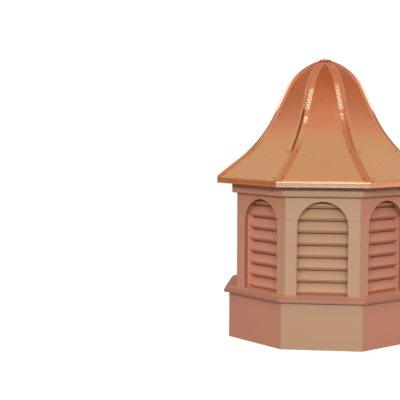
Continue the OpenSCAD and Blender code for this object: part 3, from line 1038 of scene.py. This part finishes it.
rib_screws = Shape()
for k in range(8):
    ang = rad(-67.5 + 45 * k)
    c, sn = math.cos(ang), math.sin(ang)
    for z0, w0 in ((943.0, None), (767.0, RIB_W - 4.2), (669.0, RIB_W - 5.0)):
        if w0 is None:
            continue
        l = l_of_z(z0)
        a, z, sl = outline(l)
        d = 0.85
        for m in (-1, 1):
            w = m * w0
            x = (a + d * math.sin(sl) - abs(w) * S22) / C22
            zz = z + d * math.cos(sl)
            at = ((x * c - w * sn) * 0.001, (x * sn + w * c) * 0.001, zz * 0.001)
            az = ang + m * rad(22.5)
            out = (math.sin(sl) * math.cos(az), math.sin(sl) * math.sin(az), math.cos(sl))
            # these heads are all dark: painted shade
            screw(rib_screws, at, out, 3.1, 1.4, mat=0, dark=0)
piece("hip_cap_screws", rib_screws, [shade_dark_metal, shade_dark_metal], [], sharp=35)

frieze_screws = Shape()
for k in range(8):
    for m in (-1, 1):
        at = turned((m * 92.0, AF, Z_FRIEZE + 24.0), k)
        # these heads are all dark: painted shade
        screw(frieze_screws, at, Vector(turned((0, 1000, 0), k)), 2.6, 0.7, mat=0, dark=0)
piece("frieze_screw_heads", frieze_screws, [shade_dark_metal, shade_dark_metal], [], sharp=35)


# ---------------------------------------------------------------- peak
def lathe(shape, line, n, low=None, **how):
    """A closed (r, z) line turned round the axis. low(angle, point) may move a point's height."""
    loops, flat = [], []
    for i in range(n):
        v = 2 * math.pi * i / n
        loop = []
        for j, (r, z) in enumerate(line):
            dz = low(v, j) if low else 0.0
            loop.append((r * math.cos(v) * 0.001, r * math.sin(v) * 0.001, (z + dz) * 0.001))
            flat.append((v * 26.0, 0.0, j * 2.0))
        loops.append(loop)
    m = len(line)
    pts = [p for lp in loops for p in lp]
    faces = []
    for i in range(n):
        a, b = i * m, (i + 1) % n * m
        for j in range(m):
            faces.append((a + j, b + j, b + (j + 1) % m, a + (j + 1) % m))
    shape.add(pts, faces, None, local=flat, **how)


rim_z = crown_z(CAP_R - 6, RIDGE_H) + GAP
stem_z = crown_z(BLOCK_R, -3.0) - GAP
top_z = rim_z + 4.5
cap = Shape()
cap_line = [
    (ROD_R, stem_z), (ROD_R, top_z - 0.7), (ROD_R + 0.2, top_z - 0.25), (ROD_R + 0.7, top_z), (ROD_R + 1.9, top_z - 0.1),
    (ROD_R + 3.2, top_z - 0.38), (14.5, top_z - 0.72), (17.5, top_z - 1.35), (20.5, top_z - 2.35), (23.2, top_z - 3.6),
    (25.0, top_z - 4.6), (25.8, top_z - 5.3), (25.95, top_z - 6.1), (25.9, top_z - 7.3), (25.2, top_z - 7.3), (25.1, top_z - 6.3),
    (22.8, top_z - 4.7), (19.5, top_z - 3.9), (19.5, stem_z)]
low_points = {12: 0.5, 13: 1.0, 14: 1.0, 15: 0.5}


def settle(v, j):
    """Between the ribs the cap's skirt is pressed down towards the panels."""
    if j not in low_points:
        return 0.0
    return -low_points[j] * 2.0 * (0.5 + 0.5 * math.cos(8 * v))


lathe(cap, cap_line, 96, settle)
for i in range(96):
    for j in range(4):  # the hole and its lip, dark: painted shade
        cap.mat[i * len(cap_line) + j] = 1
piece("peak_cap_spun", cap, [cap_mat, shade_dark_metal], ["peak_cap"], sharp=40)

block = Shape()
b_top = stem_z
b_low = b_top - BLOCK_H
lathe(block, rounded([(ROD_R, b_low), (BLOCK_R, b_low), (BLOCK_R, b_top), (ROD_R, b_top)], [0.5, 1.5, 1.5, 0.5], 2), 64)
piece("peak_block_turned", block, [block_mat], ["peak_block"], sharp=40)

# ---------------------------------------------------------------- floor, light and camera
floor_me = bpy.data.meshes.new("floor")
R = 6.0
floor_me.from_pydata([(-R, -R, 0), (R, -R, 0), (R, R, 0), (-R, R, 0)], [], [(0, 1, 2, 3)])
floor = bpy.data.objects.new("floor", floor_me)
bpy.context.scene.collection.objects.link(floor)
t = Tree("floor_pale")
tc = t.new("ShaderNodeTexCoord").outputs["Object"]
soft = t.noise(tc, 1.3, 2.0)
b = t.new("ShaderNodeBsdfPrincipled")
t.put(b.inputs["Base Color"], t.mix(soft, rgb(0.27, 0.27, 0.27), rgb(0.30, 0.30, 0.30)))
b.inputs["Roughness"].default_value = 0.9
b.inputs["Specular IOR Level"].default_value = 0.1
glow = t.new("ShaderNodeEmission")
glow.inputs["Color"].default_value = (1, 1, 1, 1)
seen = t.new("ShaderNodeLightPath").outputs["Is Camera Ray"]
t.put(glow.inputs["Strength"], t.math("MULTIPLY", seen, 0.85))
add = t.new("ShaderNodeAddShader")
t.t.links.new(b.outputs[0], add.inputs[0])
t.t.links.new(glow.outputs[0], add.inputs[1])
floor_me.materials.append(t.done(add))

world = bpy.data.worlds.new("studio")
bpy.context.scene.world = world
world.use_nodes = True
nt = world.node_tree
nt.nodes.clear()


def wn(kind, **props):
    n = nt.nodes.new(kind)
    for a, v in props.items():
        setattr(n, a, v)
    return n


def wmath(op, a, b=0.0, c=None, clamp=False):
    n = wn("ShaderNodeMath", operation=op, use_clamp=clamp)
    for s, v in zip(n.inputs, (a, b, c)):
        if v is None:
            continue
        if isinstance(v, bpy.types.NodeSocket):
            nt.links.new(v, s)
        else:
            s.default_value = v
    return n.outputs[0]


ray = wn("ShaderNodeTexCoord")
sep = wn("ShaderNodeSeparateXYZ")
nt.links.new(ray.outputs["Generated"], sep.inputs[0])
def wrange(value, lo, hi, a=0.0, b=1.0):
    n = wn("ShaderNodeMapRange", interpolation_type="SMOOTHSTEP")
    nt.links.new(value, n.inputs["Value"])
    for name, v in (("From Min", lo), ("From Max", hi), ("To Min", a), ("To Max", b)):
        n.inputs[name].default_value = v
    return n.outputs[0]


def wmix(fac, a, b):
    return wmath("ADD", a, wmath("MULTIPLY", fac, wmath("SUBTRACT", b, a)))


dx, dy, dz = sep.outputs["X"], sep.outputs["Y"], sep.outputs["Z"]
flat_len = wmath("MAXIMUM", wmath("SQRT", wmath("SUBTRACT", 1.0, wmath("MULTIPLY", dz, dz))), 0.02)
ahead = wmath("DIVIDE", wmath("MULTIPLY", dy, -1.0), flat_len)
aside = wmath("DIVIDE", dx, flat_len)
# near the horizon: pale at the sides, dimmer in front, dark behind
low = wmath("MULTIPLY_ADD", aside, 0.06, 0.64)
low = wmix(wrange(ahead, -0.60, -0.20, 1.0, 0.0), low, wrange(aside, -0.15, 0.30, 0.06, 0.45))
low = wmix(wrange(ahead, 0.6, 0.9), low, 0.22)
foot = wmix(wrange(ahead, -0.50, -0.10), 0.38, 0.12)
level = wmix(wrange(wmath("SUBTRACT", dz, foot), 0.0, 0.20), low, 0.66)
# in front: a pale strip at the floor's edge, and a soft lamp below eye line
strip_in = wmath("MULTIPLY", wrange(ahead, 0.80, 0.95), wrange(wmath("ABSOLUTE", dz), 0.05, 0.12, 1.0, 0.0))
level = wmath("MULTIPLY_ADD", strip_in, 0.06, level)
rim = wrange(wmath("ABSOLUTE", dz), 0.06, 0.14, 1.0, 0.0)
rim_in = wmath("MULTIPLY", wrange(aside, 0.80, 0.95), rim)
rim_left = wmath("MULTIPLY", wrange(aside, -0.80, -0.95), rim)
level = wmath("MULTIPLY_ADD", rim_in, 0.64, level)
core = wmath("MULTIPLY", wrange(ahead, 0.90, 0.96), wmath("MULTIPLY", wrange(dz, 0.36, 0.42), wrange(dz, 0.56, 0.62, 1.0, 0.0)))
level = wmath("MULTIPLY_ADD", core, 1.4, level)
bg_light = wn("ShaderNodeBackground")
# low at the sides the light is warmer, as from a painted wall
blush = wmath("MULTIPLY", wrange(wmath("ABSOLUTE", aside), 0.45, 0.80), wrange(dz, 0.16, 0.42, 1.0, 0.0))
wall = wn("ShaderNodeMix", data_type="RGBA")
nt.links.new(wrange(aside, -0.2, 0.2), wall.inputs[0])
wall.inputs[6].default_value = (1.0, 0.54, 0.42, 1)
wall.inputs[7].default_value = (1.0, 0.62, 0.54, 1)
glow_left = wn("ShaderNodeMix", data_type="RGBA")
nt.links.new(rim_left, glow_left.inputs[0])
nt.links.new(wall.outputs[2], glow_left.inputs[6])
glow_left.inputs[7].default_value = (1.0, 0.39, 0.045, 1)
glow_right = wn("ShaderNodeMix", data_type="RGBA")
nt.links.new(rim_in, glow_right.inputs[0])
nt.links.new(glow_left.outputs[2], glow_right.inputs[6])
glow_right.inputs[7].default_value = (0.95, 0.545, 0.40, 1)
tint = wn("ShaderNodeMix", data_type="RGBA")
nt.links.new(blush, tint.inputs[0])
tint.inputs[6].default_value = (1.0, 0.965, 0.925, 1)
nt.links.new(glow_right.outputs[2], tint.inputs[7])
nt.links.new(tint.outputs[2], bg_light.inputs["Color"])
nt.links.new(level, bg_light.inputs["Strength"])
bg_seen = wn("ShaderNodeBackground")
bg_seen.inputs["Color"].default_value = (1, 1, 1, 1)
bg_seen.inputs["Strength"].default_value = 1.05
path = wn("ShaderNodeLightPath")
mixw = wn("ShaderNodeMixShader")
nt.links.new(path.outputs["Is Camera Ray"], mixw.inputs[0])
nt.links.new(bg_light.outputs[0], mixw.inputs[1])
nt.links.new(bg_seen.outputs[0], mixw.inputs[2])
wout = wn("ShaderNodeOutputWorld")
nt.links.new(mixw.outputs[0], wout.inputs[0])


def area(name, at, to, size, power, color=(1, 1, 1)):
    d = bpy.data.lights.new(name, "AREA")
    d.shape = "RECTANGLE"
    d.size, d.size_y = size
    d.energy = power
    d.color = color
    o = bpy.data.objects.new(name, d)
    o.location = at
    o.rotation_mode = "QUATERNION"
    o.rotation_quaternion = (Vector(to) - Vector(at)).to_track_quat("-Z", "Y")
    bpy.context.scene.collection.objects.link(o)
    return o


area("key_front", (0.3, -9.0, 3.1), (0, 0, 0.6), (7.5, 0.8), 660.0, (1.0, 0.985, 0.96))
area("fill_back", (2.2, 8.6, 3.3), (0, 0, 0.6), (2.4, 0.8), 260.0, (1.0, 0.98, 0.95))

cam_d = bpy.data.cameras.new("camera")
cam = bpy.data.objects.new("camera", cam_d)
bpy.context.scene.collection.objects.link(cam)
cam_d.sensor_fit = "HORIZONTAL"
cam_d.sensor_width = 36.0
cam_d.lens = 94.097
yaw, pitch, roll = rad(7.219), rad(4.537), rad(-0.114)
fwd = Vector((-math.sin(yaw) * math.cos(pitch), math.cos(yaw) * math.cos(pitch), -math.sin(pitch)))
right = Vector((math.cos(yaw), math.sin(yaw), 0.0))
upv = right.cross(fwd)
X = right * math.cos(roll) - upv * math.sin(roll)
Y = right * math.sin(roll) + upv * math.cos(roll)
cam.matrix_world = Matrix((
    (X.x, Y.x, -fwd.x, 0.0347), (X.y, Y.y, -fwd.y, -4.4027), (X.z, Y.z, -fwd.z, 0.9019), (0, 0, 0, 1)))
bpy.context.scene.camera = cam
bpy.context.scene.view_settings.view_transform = "Standard"
bpy.context.scene.view_settings.look = "None"
